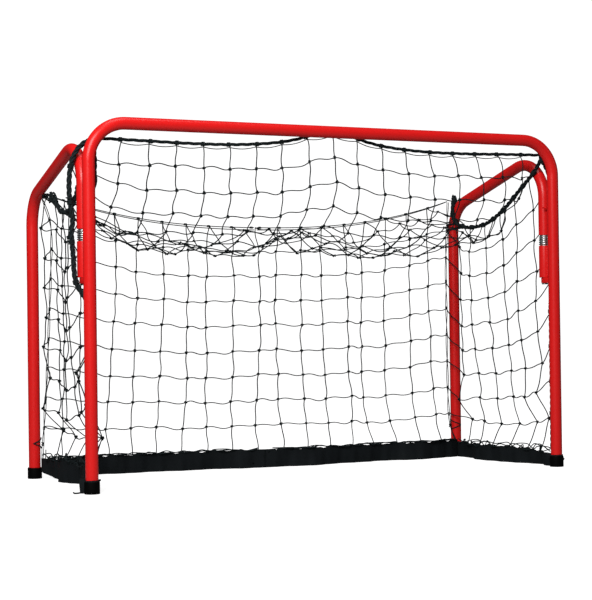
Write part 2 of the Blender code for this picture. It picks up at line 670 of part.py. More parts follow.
# The back net, the cord along its top and the skirt along its foot
back_half = REAR_CORD.x - REAR_EDGE
back_columns = [(2 * u - 1) * back_half for u in lattice_lines(NET_COLUMNS, 2 * back_half)]
rear_x = [-REAR_CORD.x] + back_columns[1:-1] + [REAR_CORD.x]
keep("rear_top_cord", round_cord("rear_top_cord", [(x, REAR_CORD.y, rear_z(x)) for x in rear_x], REAR_CORD_RADIUS),
     net_black)
keep("back_net",
     net_mesh("back_net", NET_COLUMNS, NET_ROWS, 2 * back_half, REAR_MIDDLE_Z - NET_BOTTOM, back_net_place),
     net_black)
keep("back_skirt", skirt_mesh("back_skirt", (-back_half, REAR_Y), (back_half, REAR_Y), hem_pull), cloth_black)
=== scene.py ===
"""A small folding street goal with a knotted net, standing in a white studio.

The bent steel frame, its sprung hinges, the rubber feet, the hanging net with its
bound edges and the cloth skirt are each made in their real sizes, in metres."""

from math import acos, atan2, cos, hypot, pi, radians, sin, tan

import bmesh
import bpy
import numpy as np
from mathutils import Matrix, Vector


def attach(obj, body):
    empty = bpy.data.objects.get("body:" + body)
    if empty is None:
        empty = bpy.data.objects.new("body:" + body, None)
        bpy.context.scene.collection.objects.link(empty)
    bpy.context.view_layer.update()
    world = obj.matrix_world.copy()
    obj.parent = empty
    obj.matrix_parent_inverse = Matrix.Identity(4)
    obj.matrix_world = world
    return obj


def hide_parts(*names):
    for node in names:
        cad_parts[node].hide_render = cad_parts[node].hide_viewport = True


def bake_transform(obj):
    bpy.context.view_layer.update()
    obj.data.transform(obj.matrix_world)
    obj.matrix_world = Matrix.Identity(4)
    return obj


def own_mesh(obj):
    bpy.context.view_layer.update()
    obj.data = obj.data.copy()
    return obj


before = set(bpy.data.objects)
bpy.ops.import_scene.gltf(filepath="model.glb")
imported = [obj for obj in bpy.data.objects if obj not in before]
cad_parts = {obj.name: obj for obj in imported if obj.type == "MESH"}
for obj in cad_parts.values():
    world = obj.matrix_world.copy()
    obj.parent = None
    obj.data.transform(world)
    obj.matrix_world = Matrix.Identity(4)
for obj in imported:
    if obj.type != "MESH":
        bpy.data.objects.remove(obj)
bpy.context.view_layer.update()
scene = bpy.context.scene

# Camera
# The photograph was taken from the left of the mouth, low down, with a long lens.
# The lens looks ahead, and to_top is the way up in the picture.
camera = bpy.data.objects.new("camera", bpy.data.cameras.new("camera"))
scene.collection.objects.link(camera)
scene.camera = camera
to_top = Vector((0.005717, -0.017535, 0.999830))
ahead = Vector((0.449411, 0.893229, 0.013096))
turned = Matrix((ahead.cross(to_top), to_top, -ahead)).transposed().to_4x4()
camera.matrix_world = Matrix.Translation((-1.433427, -2.852440, 0.276318)) @ turned
camera.data.sensor_fit = "VERTICAL"
camera.data.sensor_height = 36
camera.data.lens = 103.77


# Front frame
# One steel tube, bent at both top corners: left post, crossbar and right post. It is
# half-inch pipe, 21.3 mm across, coated in glossy red powder.
TUBE_R = 0.01065
POST_X = 0.46065
FRONT_Y = -0.1675
CROSSBAR_Z = 0.61065
TUBE_END = 0.0033
BEND = 0.065
BEND_STEPS = 24


class Value:
    """A shader socket that adds and multiplies like a number."""

    def __init__(self, tree, socket):
        self.tree = tree
        self.socket = socket

    def node(self, kind, inputs, output=0, **settings):
        """Another node, fed with numbers, colours or values by input name or number."""
        made = self.tree.nodes.new(kind)
        for key, item in settings.items():
            setattr(made, key, item)
        for key, item in inputs.items():
            if isinstance(item, Value):
                self.tree.links.new(item.socket, made.inputs[key])
            else:
                made.inputs[key].default_value = item
        return Value(self.tree, made.outputs[output])

    def __add__(self, other):
        return self.node("ShaderNodeMath", {0: self, 1: other}, operation="ADD")

    def __radd__(self, other):
        return self + other

    def __mul__(self, other):
        return self.node("ShaderNodeMath", {0: self, 1: other}, operation="MULTIPLY")

    def __rmul__(self, other):
        return self * other

    def noise(self, scale, detail):
        return self.node("ShaderNodeTexNoise", {"Vector": self, "Scale": scale, "Detail": detail})

    def tone(self, dark, light):
        """A colour between two, by this value."""
        ends = {0: self, 6: (*dark, 1), 7: (*light, 1)}
        return self.node("ShaderNodeMix", ends, output=2, data_type="RGBA")

    def relief(self, distance, strength):
        return self.node("ShaderNodeBump", {"Height": self, "Distance": distance, "Strength": strength})

    def into(self, port):
        self.tree.links.new(self.socket, port)


def new_finish(name, metallic=0.0):
    """An empty finish: its material, the surface's sockets and the place of each point in metres."""
    made = bpy.data.materials.new(name)
    made.use_nodes = True
    tree = made.node_tree
    shader = tree.nodes["Principled BSDF"]
    shader.inputs["Metallic"].default_value = metallic
    place = tree.nodes.new("ShaderNodeTexCoord")
    return made, shader.inputs, Value(tree, place.outputs["Object"])


# Red powder coat: even colour with a faint orange-peel skin
red, port, place = new_finish("red_powder_coat")
place.noise(9, 3).tone((0.660, 0.0085, 0.0080), (0.740, 0.0120, 0.0115)).into(port["Base Color"])
(0.24 + 0.16 * place.noise(160, 3)).into(port["Roughness"])
port["Specular IOR Level"].default_value = 0.30
place.noise(820, 1).relief(0.00010, 0.5).into(port["Normal"])


def shown(name, mesh, finish, replaced=()):
    """Adds a finished mesh to the scene as the stand-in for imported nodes."""
    mesh.materials.append(finish)
    made = bpy.data.objects.new(name, mesh)
    scene.collection.objects.link(made)
    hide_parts(*replaced)
    return made


def red_piece(name, mesh, body, replaced=()):
    """A piece of red steel, which moves with a body of the model."""
    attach(shown(name, mesh, red, replaced), body)


def shaded(mesh, sharp_from):
    """Smooth shading, apart from edges that turn by more than an angle in degrees."""
    mesh.shade_smooth()
    mesh.set_sharp_from_angle(angle=radians(sharp_from))
    return mesh


def bars(name, paths, radius, resolution=1, closed=False):
    """Round bars or twines along the given centre lines, as one mesh."""
    curve = bpy.data.curves.new(name, "CURVE")
    curve.dimensions = "3D"
    curve.bevel_depth = radius
    curve.bevel_resolution = resolution
    curve.use_fill_caps = True
    for path in paths:
        line = curve.splines.new("POLY")
        line.points.add(len(path) - 1)
        line.points.foreach_set("co", np.c_[np.array(path, float), np.ones(len(path))].ravel())
        line.use_cyclic_u = closed
    holder = bpy.data.objects.new(name, curve)
    mesh = bpy.data.meshes.new_from_object(holder)
    bpy.data.objects.remove(holder)
    bpy.data.curves.remove(curve)
    mesh.name = name
    return shaded(mesh, 50)


def bent_line(corners):
    """The centre line of a bent tube: straight runs joined by arcs of one radius."""
    path = [Vector(corners[0])]
    for before, corner, after in zip(corners, corners[1:], corners[2:]):
        corner = Vector(corner)
        back = (Vector(before) - corner).normalized()
        on = (Vector(after) - corner).normalized()
        half = back.angle(on) / 2
        centre = corner + (back + on).normalized() * BEND / sin(half)
        start = corner + back * BEND / tan(half) - centre
        stop = corner + on * BEND / tan(half) - centre
        sweep = pi - 2 * half
        for k in range(BEND_STEPS + 1):
            share = k / BEND_STEPS
            reach = start * sin((1 - share) * sweep) + stop * sin(share * sweep)
            path.append(centre + reach / sin(sweep))
    return path + [Vector(corners[-1])]


def soften(mesh, width):
    """Rounds a mesh's sharp edges by a small width."""
    bm = bmesh.new()
    bm.from_mesh(mesh)
    sharp = [e for e in bm.edges if len(e.link_faces) == 2 and e.calc_face_angle() > radians(40)]
    bmesh.ops.bevel(bm, geom=sharp, offset=width, offset_type="OFFSET", segments=2, profile=0.5,
                    affect="EDGES", material=-1)
    bm.to_mesh(mesh)
    bm.free()
    return shaded(mesh, 50)


corners = [(-POST_X, FRONT_Y, TUBE_END), (-POST_X, FRONT_Y, CROSSBAR_Z), (POST_X, FRONT_Y, CROSSBAR_Z),
           (POST_X, FRONT_Y, TUBE_END)]
front = soften(bars("front_tube", [bent_line(corners)], TUBE_R, 22), 0.0006)
red_piece("front_tube", front, "mouth", ["front_frame"])


# Side frames
# One bent tube a side, of the same pipe: the stub on the hinge, the sloping top bar and
# the rear leg. Both sides toe in a little towards the back.
SIDES = (("left", -1), ("right", 1))
HINGE_Y = -0.1382
REAR_Y = 0.1675
LEG_X = 0.44865
SPAN = hypot(POST_X - LEG_X, REAR_Y - HINGE_Y)
TOE_IN = atan2(POST_X - LEG_X, REAR_Y - HINGE_Y)
STUB_BOTTOM = 0.4362
SLOPE_TOP = 0.596
LEG_TOP = SLOPE_TOP - SPAN * tan(radians(16.7))

for side, sx in SIDES:
    hinge = Matrix.Translation((sx * POST_X, HINGE_Y, 0)) @ Matrix.Rotation(sx * TOE_IN, 4, "Z")
    corners = [(0, 0, STUB_BOTTOM), (0, 0, SLOPE_TOP), (0, SPAN, LEG_TOP), (0, SPAN, TUBE_END)]
    line = [hinge @ point for point in bent_line(corners)]
    tube = soften(bars(f"{side}_side_tube", [line], TUBE_R, 22), 0.0008)
    red_piece(f"{side}_side_tube", tube, f"{side}_wing", [f"{side}_side_frame"])


# Hinges
# Behind each post, a short sleeve of the same pipe is welded on by a plate. A steel pin
# fixed in the side frame's stub turns in it, with a spring above and a lock plate below.
TUBE_BORE = 0.00865
SLEEVE_BOTTOM = 0.3557
SLEEVE_TOP = 0.4157
SLEEVE_LENGTH = SLEEVE_TOP - SLEEVE_BOTTOM
WEB_HALF = 0.0015
WEB_SUNK = 0.0004
WEB_MARGIN = 0.001
BEAD_R = 0.0013
PIN_R = 0.00835
PIN_HEAD_R = 0.0062
PIN_TAIL_R = 0.0040
PIN_BOTTOM = 0.3427
PIN_HEAD_TOP = 0.3451
PIN_TOP = 0.4900
COILS = 5
COIL_STEPS = 32
COIL_R = 0.0097
SPRING_WIRE = 0.00095
SPRING_SEAT = 0.00125
LOCK_BOTTOM = 0.3454
LOCK_HEIGHT = 0.010
LOCK_HALF = 0.007
LOCK_BORE = 0.0043

# Bright zinc on spring wire
zinc, port, place = new_finish("zinc_plated_wire", 1.0)
place.noise(260, 3).tone((0.54, 0.56, 0.57), (0.80, 0.81, 0.80)).into(port["Base Color"])
(0.20 + 0.22 * place.noise(700, 2)).into(port["Roughness"])
place.noise(1500, 1).relief(0.00004, 0.5).into(port["Normal"])

# Plain turned steel of the pins, dark with a little grease
steel, port, place = new_finish("bare_pin_steel", 1.0)
place.noise(120, 4).tone((0.26, 0.25, 0.24), (0.50, 0.49, 0.47)).into(port["Base Color"])
(0.30 + 0.20 * place.noise(400, 2)).into(port["Roughness"])
place.noise(900, 1).relief(0.00004, 0.6).into(port["Normal"])


def solid_mesh(name, bm):
    """The mesh of a closed shape, its faces turned outwards."""
    bmesh.ops.recalc_face_normals(bm, faces=bm.faces[:])
    mesh = bpy.data.meshes.new(name)
    bm.to_mesh(mesh)
    bm.free()
    return mesh


def turned_part(name, outline, place, segments=64):
    """A solid of revolution from (radius, height) points that go once round the section."""
    bm = bmesh.new()
    points = [bm.verts.new((radius, 0, height)) for radius, height in outline]
    edges = [bm.edges.new(pair) for pair in zip(points, points[1:] + points[:1])]
    bmesh.ops.spin(bm, geom=points + edges, cent=(0, 0, 0), axis=(0, 0, 1), angle=2 * pi, steps=segments,
                   use_merge=True)
    bmesh.ops.remove_doubles(bm, verts=bm.verts[:], dist=0.000005)
    bmesh.ops.dissolve_degenerate(bm, edges=bm.edges[:], dist=0.000005)
    axis_faces = [f for f in bm.faces if all(hypot(v.co.x, v.co.y) < 0.00001 for v in f.verts)]
    bmesh.ops.delete(bm, geom=axis_faces, context="FACES")
    bmesh.ops.transform(bm, matrix=place, verts=bm.verts[:])
    return shaded(solid_mesh(name, bm), 35)


def eased(corner_points, ease):
    """An outline with each corner rounded by a short curve, apart from those on the axis."""
    points = []
    for before, corner, after in zip(corner_points[-1:] + corner_points[:-1], corner_points,
                                     corner_points[1:] + corner_points[:1]):
        corner, back, on = Vector(corner), Vector(before), Vector(after)
        if corner.x < 0.00001:
            points.append(corner)
            continue
        first = corner + (back - corner).normalized() * ease
        last = corner + (on - corner).normalized() * ease
        for share in (0, 0.25, 0.5, 0.75, 1):
            points.append(first.lerp(corner, share).lerp(corner.lerp(last, share), share))
    return [(p.x, p.y) for p in points]


def raise_plate(bm, faces, height):
    """Extrudes flat faces straight up."""
    flat = faces + list({e for f in faces for e in f.edges})
    grown = bmesh.ops.extrude_face_region(bm, geom=flat)["geom"]
    top = [g for g in grown if isinstance(g, bmesh.types.BMVert)]
    bmesh.ops.translate(bm, vec=(0, 0, height), verts=top)


for side, sx in SIDES:
    at_hinge = Matrix.Translation((sx * POST_X, HINGE_Y, 0))
    section = [(TUBE_R, SLEEVE_BOTTOM), (TUBE_R, SLEEVE_TOP), (TUBE_BORE, SLEEVE_TOP),
               (TUBE_BORE, SLEEVE_BOTTOM)]
    sleeve = turned_part(f"{side}_sleeve", eased(section, 0.0006), at_hinge)
    red_piece(f"{side}_sleeve", sleeve, "mouth", [f"{side}_hinge_sleeve"])

    # The plate between post and sleeve, hollowed at both ends to fit the tubes
    plate = bmesh.new()
    saddle = TUBE_R - WEB_SUNK
    rim = [(dx, FRONT_Y + saddle * cos(dx / saddle)) for dx in (-WEB_HALF, 0, WEB_HALF)]
    rim += [(dx, HINGE_Y - saddle * cos(dx / saddle)) for dx in (WEB_HALF, 0, -WEB_HALF)]
    low = SLEEVE_BOTTOM + WEB_MARGIN
    face = plate.faces.new([plate.verts.new((sx * POST_X + dx, y, low)) for dx, y in rim])
    raise_plate(plate, [face], SLEEVE_LENGTH - 2 * WEB_MARGIN)
    red_piece(f"{side}_web_plate", solid_mesh(f"{side}_web_plate", plate), "mouth", [f"{side}_hinge_web"])

    # Weld beads, laid in short overlapping ripples up both edges of the plate
    ripples = []
    low = SLEEVE_BOTTOM + 2 * WEB_MARGIN
    for y in (FRONT_Y + TUBE_R + 0.0004, HINGE_Y - TUBE_R - 0.0004):
        for edge in (-1, 1):
            ripples.append([(sx * POST_X + edge * (0.0021 + 0.0003 * sin(k * 1.9)),
                             y + 0.0002 * cos(k * 2.3),
                             low + (SLEEVE_LENGTH - 4 * WEB_MARGIN) * k / 40) for k in range(41)])
    red_piece(f"{side}_weld_beads", bars(f"{side}_weld_beads", ripples, BEAD_R, 3), "mouth")

    pin_outline = [(0, PIN_BOTTOM), (PIN_HEAD_R, PIN_BOTTOM), (PIN_HEAD_R, PIN_HEAD_TOP),
                   (PIN_TAIL_R, PIN_HEAD_TOP), (PIN_TAIL_R, SLEEVE_BOTTOM), (PIN_R, SLEEVE_BOTTOM),
                   (PIN_R, PIN_TOP), (0, PIN_TOP)]
    pin = turned_part(f"{side}_pin", eased(pin_outline, 0.0004), at_hinge, 48)
    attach(shown(f"{side}_pin", pin, steel, [f"{side}_hinge_pin"]), f"{side}_wing")

    # The coil spring between sleeve and stub
    curls = []
    free_height = STUB_BOTTOM - SLEEVE_TOP - 2 * SPRING_SEAT
    for k in range(COILS * COIL_STEPS + 1):
        turn = k / COIL_STEPS
        rise = turn / COILS
        height = rise + 0.085 * sin(2 * pi * rise) / (2 * pi)
        curls.append((sx * POST_X + COIL_R * cos(2 * pi * turn), HINGE_Y + COIL_R * sin(2 * pi * turn),
                      SLEEVE_TOP + SPRING_SEAT + free_height * height))
    spring = bars(f"{side}_spring", [curls], SPRING_WIRE, 4)
    spring = shown(f"{side}_spring", spring, zinc, [f"{side}_lock_spring"])
    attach(spring, "mouth")
    seat = (sx * POST_X, HINGE_Y, SLEEVE_TOP)
    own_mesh(spring)

    # The keyed lock plate: an eye round the pin's tail, a tongue that reaches the post
    plate = bmesh.new()
    reach = TUBE_R + 0.0003
    turn = atan2(LOCK_HALF, (reach ** 2 - LOCK_HALF ** 2) ** 0.5)
    edge = [(reach * sin(turn * k / 6), FRONT_Y + reach * cos(turn * k / 6)) for k in range(-6, 7)]
    edge += [(LOCK_HALF * cos(pi * k / 20), HINGE_Y + LOCK_HALF * sin(pi * k / 20)) for k in range(21)]
    verts = [plate.verts.new((sx * POST_X + dx, y, LOCK_BOTTOM)) for dx, y in edge]
    rim = [plate.edges.new(pair) for pair in zip(verts, verts[1:] + verts[:1])]
    eye = Matrix.Translation((sx * POST_X, HINGE_Y, LOCK_BOTTOM))
    hole = bmesh.ops.create_circle(plate, segments=32, radius=LOCK_BORE, matrix=eye)["verts"]
    rim += list({e for v in hole for e in v.link_edges})
    flat = bmesh.ops.triangle_fill(plate, use_beauty=True, use_dissolve=True, edges=rim)["geom"]
    raise_plate(plate, [g for g in flat if isinstance(g, bmesh.types.BMFace)], LOCK_HEIGHT)
    mesh = soften(solid_mesh(f"{side}_lock_plate", plate), 0.0005)
    red_piece(f"{side}_lock_plate", mesh, f"{side}_lock", [f"{side}_lock_collar"])


# Feet
# Four cups of moulded black rubber, pushed over the ends of the tubes. Their edges are
# rounded, and the goal stands on their flat undersides.
CUP_R = 0.01295
CUP_BORE = 0.01095
CUP_HEIGHT = 0.0200
CUP_FLOOR = 0.0030
cup = [(0, 0), (CUP_R, 0), (CUP_R, CUP_HEIGHT), (CUP_BORE, CUP_HEIGHT), (CUP_BORE, CUP_FLOOR),
       (0, CUP_FLOOR)]

# Moulded black rubber, dusty grey where it is scuffed
rubber, port, place = new_finish("black_rubber")
port["Specular IOR Level"].default_value = 0.05
place.noise(90, 4).tone((0.0003, 0.0003, 0.0003), (0.0015, 0.0015, 0.0015)).into(port["Base Color"])
(0.50 + 0.22 * place.noise(240, 3)).into(port["Roughness"])
place.noise(650, 3).relief(0.00015, 0.6).into(port["Normal"])

for side, sx in SIDES:
    for name, x, y, node, body in ((f"{side}_front_foot", POST_X, FRONT_Y, f"{side}_front_cap", "mouth"),
                                   (f"{side}_rear_foot", LEG_X, REAR_Y, f"{side}_rear_cap", f"{side}_wing")):
        foot = turned_part(name, eased(cup, 0.0009), Matrix.Translation((sx * x, y, 0)))
        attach(shown(name, foot, rubber, [node]), body)


# Routes of the cords
# The net is bound to cords all round: along the crossbar, down the posts, back along
# the sagging seams to the rear bends, between them, and down the rear legs.
BAND_X = 0.4473
BAND_Y = -0.15345
BAND_LOW = 0.5856
BAND_TIED_X = 0.028
CORD_X = 0.4346
HEM_SPACING = 0.004


def run_along(route):
    """How far along a route each of its points lies."""
    return np.r_[0, np.cumsum(np.linalg.norm(np.diff(route, axis=0), axis=1))]


def spots(route, count, start=0.0, stop=1.0):
    """Evenly spaced places along a route, as an array of count + 1 points."""
    run = run_along(route)
    even = np.linspace(start, stop, count + 1) * run[-1]
    return np.stack([np.interp(even, run, route[:, k]) for k in range(3)], axis=1)


def between(a, b, c, d, t):
    """The place a share t of the way from b to c, on a smooth curve through all four."""
    return 0.5 * (2 * b + (c - a) * t + (2 * a - 5 * b + 4 * c - d) * t ** 2
                  + (3 * b - a - 3 * c + d) * t ** 3)


def smooth_route(points, spacing=0.006):
    """A smooth curve through the points, as evenly spaced places."""
    marks = np.array(points, float)
    padded = np.vstack([2 * marks[0] - marks[1], marks, 2 * marks[-1] - marks[-2]])
    fine = []
    for a, b, c, d in zip(padded, padded[1:], padded[2:], padded[3:]):
        fine += [between(a, b, c, d, t) for t in np.linspace(0, 1, 12, endpoint=False)]
    fine = np.vstack([fine, marks[-1]])
    return spots(fine, max(2, round(run_along(fine)[-1] / spacing)))


def band_height(x):
    """The band is tied up to the crossbar in the middle and sags away to both sides."""
    away = max(0.0, abs(x) - BAND_TIED_X) / (BAND_X - BAND_TIED_X)
    return BAND_LOW + (CROSSBAR_Z - BAND_LOW) * (1 - away) ** 7 - 0.003 * sin(pi * away) ** 2


def rear_height(x):
    """The cord between the rear bends sags in the middle."""
    return 0.461 + 0.059 * min(1.0, abs(x) / CORD_X) ** 2.4


band_route = smooth_route([(x, BAND_Y, band_height(x)) for x in np.linspace(-BAND_X, BAND_X, 41)])
rear_route = smooth_route([(x, REAR_Y, rear_height(x)) for x in np.linspace(-CORD_X, CORD_X, 31)])

# Down the posts: both go outside the hinge in the same way, then the right one swings
# behind its post
past_hinge = [(-0.4473, -0.1540, 0.5830), (-0.4560, -0.1400, 0.5800), (-0.4680, -0.1340, 0.5680),
              (-0.4770, -0.1340, 0.5500), (-0.4820, -0.1360, 0.5300), (-0.4843, -0.1380, 0.5050),
              (-0.4828, -0.1380, 0.4800), (-0.4785, -0.1380, 0.4540), (-0.4810, -0.1380, 0.4240),
              (-0.4785, -0.1390, 0.3900), (-0.4775, -0.1395, 0.3640), (-0.4740, -0.1415, 0.3440)]
left_edge = past_hinge + [(-0.4650, -0.1470, 0.3260), (-0.4585, -0.1515, 0.3080), (-0.4579, -0.1518, 0.2400),
                          (-0.4576, -0.1518, 0.1200), (-0.4560, -0.1518, 0.0340)]
right_edge = [(-x, y, z) for x, y, z in past_hinge]
right_edge += [(0.4745, -0.1422, 0.3345), (0.4705, -0.1452, 0.3215), (0.4655, -0.1494, 0.3090),
               (0.4648, -0.1499, 0.2950), (0.4650, -0.1497, 0.2400), (0.4648, -0.1499, 0.1200),
               (0.4640, -0.1500, 0.0340)]
edge_route = {-1: smooth_route(left_edge), 1: smooth_route(right_edge)}
seam_route = {
    -1: smooth_route([(-0.4474, -0.1535, 0.5800), (-0.4471, -0.1459, 0.5737), (-0.4464, -0.1283, 0.5563),
                      (-0.4450, -0.0766, 0.5150), (-0.4446, -0.0450, 0.4860), (-0.4440, -0.0181, 0.4740),
                      (-0.4430, 0.0159, 0.4741), (-0.4425, 0.0369, 0.4825), (-0.4420, 0.0687, 0.5022),
                      (-0.4400, 0.1154, 0.5085), (-0.4360, 0.1600, 0.5150)]),
    1: smooth_route([(0.4474, -0.1535, 0.5800), (0.4469, -0.1459, 0.5737), (0.4462, -0.1283, 0.5563),
                     (0.4441, -0.0766, 0.5220), (0.4423, -0.0302, 0.4923), (0.4403, 0.0205, 0.4700),
                     (0.4390, 0.0600, 0.4635), (0.4388, 0.1040, 0.4640), (0.4378, 0.1280, 0.4705),
                     (0.4365, 0.1460, 0.4838), (0.4343, 0.1465, 0.5001), (0.4400, 0.1510, 0.5161),
                     (0.4433, 0.1480, 0.5260)]),
}
leg_route = {
    -1: smooth_route([(-0.4346, 0.1640, 0.5180), (-0.4310, 0.1450, 0.4920), (-0.4270, 0.1290, 0.4600),
                      (-0.4265, 0.1260, 0.4200), (-0.4280, 0.1330, 0.3300), (-0.4300, 0.1430, 0.2200),
                      (-0.4330, 0.1560, 0.1100), (-0.4340, 0.1630, 0.0620), (-0.4380, 0.1570, 0.0260)]),
    1: smooth_route([(0.4346, 0.1640, 0.5180), (0.4300, 0.1620, 0.4600), (0.4262, 0.1610, 0.4000),
                     (0.4258, 0.1610, 0.2600), (0.4280, 0.1630, 0.1200), (0.4335, 0.1650, 0.0650),
                     (0.4365, 0.1570, 0.0420), (0.4385, 0.1500, 0.0240)]),
}

# The net's foot on the floor, which the skirt follows too
back_hem = smooth_route([(-0.4405, 0.1550, 0), (-0.3700, 0.1690, 0), (-0.2230, 0.1700, 0),
                         (-0.1270, 0.1575, 0), (-0.0300, 0.1400, 0), (0.0700, 0.1290, 0),
                         (0.1700, 0.1330, 0), (0.2540, 0.1400, 0), (0.3600, 0.1290, 0),
                         (0.4060, 0.1370, 0), (0.4400, 0.1480, 0)], HEM_SPACING)
side_hem = {
    -1: smooth_route([(-0.4473, -0.1520, 0), (-0.4400, -0.1000, 0), (-0.4270, -0.0300, 0),
                      (-0.4230, 0.0195, 0), (-0.4320, 0.0600, 0), (-0.4300, 0.1100, 0),
                      (-0.4405, 0.1550, 0)], HEM_SPACING),
    1: smooth_route([(0.4735, -0.1535, 0), (0.4665, -0.1490, 0), (0.4590, -0.1460, 0), (0.4560, -0.1300, 0),
                     (0.4620, -0.1050, 0), (0.4560, -0.0600, 0), (0.4380, -0.0100, 0), (0.4330, 0.0500, 0),
                     (0.4370, 0.1100, 0), (0.4400, 0.1480, 0)], HEM_SPACING),
}


# Net
# Black twine knotted in 48 mm squares. It hangs from the bound cords, so each of its
# four panels is let fall between them: every bar of twine is four links that bend.
COLUMNS = 18
BACK_ROWS = 9
ROOF_ROWS = 10
SIDE_COLUMNS = 7
TWINE_R = 0.00105
TUBE_GAP = 0.0014
FLOOR_GAP = 0.003
BACK_LIMIT = 0.194
FOOT_TOP = 0.034
UPRIGHTS = [(sx * POST_X, FRONT_Y, 0, 0.6) for side, sx in SIDES]
UPRIGHTS += [(sx * POST_X, HINGE_Y, 0.345, 0.52) for side, sx in SIDES]
UPRIGHTS += [(sx * LEG_X, REAR_Y, 0, 0.47) for side, sx in SIDES]

# Braided black twine, with a slight blue-green cast where light grazes it
twine, port, place = new_finish("black_net_twine")
port["Specular IOR Level"].default_value = 0.15
place.noise(420, 3).tone((0.003, 0.0055, 0.006), (0.013, 0.020, 0.022)).into(port["Base Color"])
(0.62 + 0.25 * place.noise(900, 2)).into(port["Roughness"])
place.noise(1700, 2).relief(0.00035, 0.8).into(port["Normal"])


def inner_knots(knots):
    """The knots that hang free: all but those on a panel's four edges, which its cords hold."""
    free = np.zeros(knots.shape[:2], bool)
    free[1:-1, 1:-1] = True
    return free


def bar_lengths(knots, way):
    """The straight lengths of a panel's bars: across it for way 0, along it for way 1."""
    return np.linalg.norm(np.diff(knots, axis=way), axis=2)


def hang(knots, across, along, seed, steps):
    """Settles a panel. knots is (columns + 1, rows + 1, 3); across and along are the bars'
    real lengths. Returns the settled knots and, for each direction, the bars' five points."""
    held = ~inner_knots(knots).ravel()
    number = np.arange(held.size).reshape(knots.shape[:2])
    draw = np.random.default_rng(seed)
    places = [knots.reshape(-1, 3)]
    chains = []
    links = []
    total = held.size
    for kind in (0, 1):
        for parity in (0, 1):
            if kind == 0:
                a, b = number[parity:-1:2].ravel(), number[parity + 1::2].ravel()
                rest = across[parity::2].ravel()
            else:
                a, b = number[:, parity:-1:2].ravel(), number[:, parity + 1::2].ravel()
                rest = along[:, parity::2].ravel()
            loose = ~(held[a] & held[b])
            a, b, rest = a[loose], b[loose], rest[loose] * draw.uniform(0.96, 1.06, loose.sum())
            start, stop = places[0][a], places[0][b]
            inner = np.stack([start + (stop - start) * k / 4 for k in (1, 2, 3)], axis=1)
            inner += draw.normal(0, 0.0006, inner.shape)
            ids = total + np.arange(inner.shape[0] * 3).reshape(-1, 3)
            total += ids.size
            places.append(inner.reshape(-1, 3))
            chain = np.c_[a, ids, b]
            chains.append((kind, chain))
            for first in (0, 1):
                ends = chain[:, first:4:2].ravel(), chain[:, first + 1::2].ravel()
                links.append((*ends, np.repeat(rest / 4, 2)))

    # Each step falls a little, pulls every link to its length, stiffens the bars and
    # keeps them off the tubes and the floor
    x = np.vstack(places)
    free = np.ones(total)
    free[:held.size][held] = 0
    old = x.copy()
    for step in range(steps):
        pull = 0.00014 * (1 - step / steps) + 0.00001
        moved = (x - old) * 0.90
        moved[:, 2] -= pull
        old = x.copy()
        x = x + moved * free[:, None]
        for _ in range(5):
            for a, b, rest in links:
                gap = x[b] - x[a]
                length = np.sqrt((gap ** 2).sum(1)) + 1e-9
                share = (length - rest) / length / np.maximum(free[a] + free[b], 1e-9)
                x[a] += gap * (share * free[a])[:, None]
                x[b] -= gap * (share * free[b])[:, None]
        for kind, chain in chains:
            middle = (x[chain[:, :-2]] + x[chain[:, 2:]]) / 2 - x[chain[:, 1:-1]]
            x[chain[:, 1:-1]] += 0.12 * middle
        for cx, cy, bottom, top in UPRIGHTS:
            off = x[:, :2] - (cx, cy)
            far = np.sqrt((off ** 2).sum(1)) + 1e-9
            inside = (far < TUBE_R + TUBE_GAP) & (x[:, 2] > bottom) & (x[:, 2] < top) & (free > 0)
            x[inside, :2] += (off * ((TUBE_R + TUBE_GAP) / far - 1)[:, None])[inside]
        x[:, 1] = np.minimum(x[:, 1], BACK_LIMIT)
        x[:, 2] = np.maximum(x[:, 2], FLOOR_GAP)
    return x[:held.size].reshape(knots.shape), [(kind, x[chain]) for kind, chain in chains]


def twines(chains):
    """The bars' centre lines, smoothed, with the small S that a knot gives each twine."""
    draw = np.random.default_rng(11)
    paths = []
    for kind, chain in chains:
        before, after = 2 * chain[:, :1] - chain[:, 1:2], 2 * chain[:, -1:] - chain[:, -2:-1]
        padded = np.concatenate([before, chain, after], axis=1)
        a, b, c, d = padded[:, :-3], padded[:, 1:-2], padded[:, 2:-1], padded[:, 3:]
        fine = [between(a, b, c, d, t) for t in (0, 1 / 3, 2 / 3)]
        fine = np.stack(fine, axis=2).reshape(len(chain), -1, 3)
        fine = np.concatenate([fine, chain[:, -1:]], axis=1)
        share = np.linspace(0, 1, fine.shape[1])
        swing = draw.uniform(0.0010, 0.0024, (len(chain), 1)) * np.sin(2 * pi * share)
        bow = draw.normal(0, 0.0011, (len(chain), 3))[:, None] * np.sin(pi * share)[None, :, None]
        fine = fine + bow
        if kind == 0:
            fine[:, :, 2] += swing
        else:
            fine[:, :, 0] += 0.5 * swing
        paths += list(fine)
    return paths


def knot(place, up, over, size=0.00098):
    """A small hard knot: a closed three-lobed loop of the net's twine."""
    out = np.cross(up, over)
    turns = np.arange(12) * 2 * pi / 12
    return (place + np.outer(np.sin(turns) + 2 * np.sin(2 * turns), over) * size
            + np.outer(np.cos(turns) - 2 * np.cos(2 * turns), up) * size
            - np.outer(np.sin(3 * turns), out) * size * 1.5)


